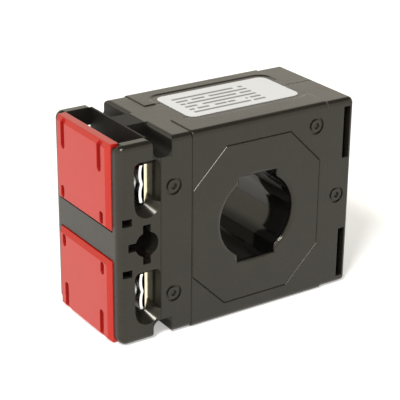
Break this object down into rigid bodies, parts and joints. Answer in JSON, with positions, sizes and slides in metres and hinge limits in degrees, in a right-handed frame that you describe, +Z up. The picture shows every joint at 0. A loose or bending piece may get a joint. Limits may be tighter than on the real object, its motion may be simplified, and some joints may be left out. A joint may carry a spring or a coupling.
{
  "type": "current transformer",
  "caption": "Box-shaped window-type current transformer with a busbar window, octagonal witness line, screw-clamp terminals and red sliding terminal covers.",
  "frame": {"origin": "middle of the underside, on the surface that the part lies on", "axes": "+X from the terminal end to the foot end, +Y from the front face to the rear face, +Z up"},
  "size_m": [0.0624, 0.0286, 0.0462],
  "materials": {
    "black_moulding": "satin moulded thermoplastic",
    "red_moulding": "satin moulded thermoplastic",
    "brass": "bright",
    "tinned_steel": "tin plated",
    "zinc_steel": "zinc plated",
    "core_steel": "wound strip",
    "copper": "enamelled wire",
    "tape": "polyester tape",
    "wrap": "crepe insulation",
    "lead_insulation": "flexible insulation",
    "label": "matt sticker"
  },
  "bodies": {
    "case": {"terminal_block": "black_moulding", "front_shell": "black_moulding", "rear_shell": "black_moulding", "terminal_bar_upper": "brass", "terminal_bar_lower": "brass", "core": "core_steel", "core_wrap": "wrap", "secondary_winding": "copper", "outer_tape": "tape", "lead_upper": "lead_insulation", "lead_lower": "lead_insulation", "rating_label": "label"},
    "upper_cover": {"cover_upper": "red_moulding"},
    "lower_cover": {"cover_lower": "red_moulding"},
    "upper_front_saddle": {"clamp_saddle_upper_front": "tinned_steel"},
    "upper_front_screw": {"terminal_screw_upper_front": "zinc_steel"},
    "upper_rear_saddle": {"clamp_saddle_upper_rear": "tinned_steel"},
    "upper_rear_screw": {"terminal_screw_upper_rear": "zinc_steel"},
    "lower_front_saddle": {"clamp_saddle_lower_front": "tinned_steel"},
    "lower_front_screw": {"terminal_screw_lower_front": "zinc_steel"},
    "lower_rear_saddle": {"clamp_saddle_lower_rear": "tinned_steel"},
    "lower_rear_screw": {"terminal_screw_lower_rear": "zinc_steel"}
  },
  "joints": [
    {"name": "cover_upper_slide", "type": "slide", "parent": "case", "child": "upper_cover", "axis": [0, 0, 1], "range_m": [0, 0.017]},
    {"name": "cover_lower_slide", "type": "slide", "parent": "case", "child": "lower_cover", "axis": [0, 0, -1], "range_m": [0, 0.017]},
    {"name": "saddle_upper_front_slide", "type": "slide", "parent": "case", "child": "upper_front_saddle", "axis": [-1, 0, 0], "range_m": [0, 0.0014]},
    {"name": "screw_upper_front_turn", "type": "hinge", "parent": "upper_front_saddle", "child": "upper_front_screw", "pos_m": [-0.0224, -0.00725, 0.03565], "axis": [-1, 0, 0], "range_deg": [0, 725]},
    {"name": "saddle_upper_rear_slide", "type": "slide", "parent": "case", "child": "upper_rear_saddle", "axis": [-1, 0, 0], "range_m": [0, 0.0014]},
    {"name": "screw_upper_rear_turn", "type": "hinge", "parent": "upper_rear_saddle", "child": "upper_rear_screw", "pos_m": [-0.0224, 0.00725, 0.03565], "axis": [-1, 0, 0], "range_deg": [0, 725]},
    {"name": "saddle_lower_front_slide", "type": "slide", "parent": "case", "child": "lower_front_saddle", "axis": [-1, 0, 0], "range_m": [0, 0.0014]},
    {"name": "screw_lower_front_turn", "type": "hinge", "parent": "lower_front_saddle", "child": "lower_front_screw", "pos_m": [-0.0224, -0.00725, 0.01055], "axis": [-1, 0, 0], "range_deg": [0, 725]},
    {"name": "saddle_lower_rear_slide", "type": "slide", "parent": "case", "child": "lower_rear_saddle", "axis": [-1, 0, 0], "range_m": [0, 0.0014]},
    {"name": "screw_lower_rear_turn", "type": "hinge", "parent": "lower_rear_saddle", "child": "lower_rear_screw", "pos_m": [-0.0224, 0.00725, 0.01055], "axis": [-1, 0, 0], "range_deg": [0, 725]}
  ],
  "couplings": [
    {"joint": "screw_upper_front_turn", "follows": "saddle_upper_front_slide", "rad_per_m": 8976},
    {"joint": "screw_upper_rear_turn", "follows": "saddle_upper_rear_slide", "rad_per_m": 8976},
    {"joint": "screw_lower_front_turn", "follows": "saddle_lower_front_slide", "rad_per_m": 8976},
    {"joint": "screw_lower_rear_turn", "follows": "saddle_lower_rear_slide", "rad_per_m": 8976}
  ]
}
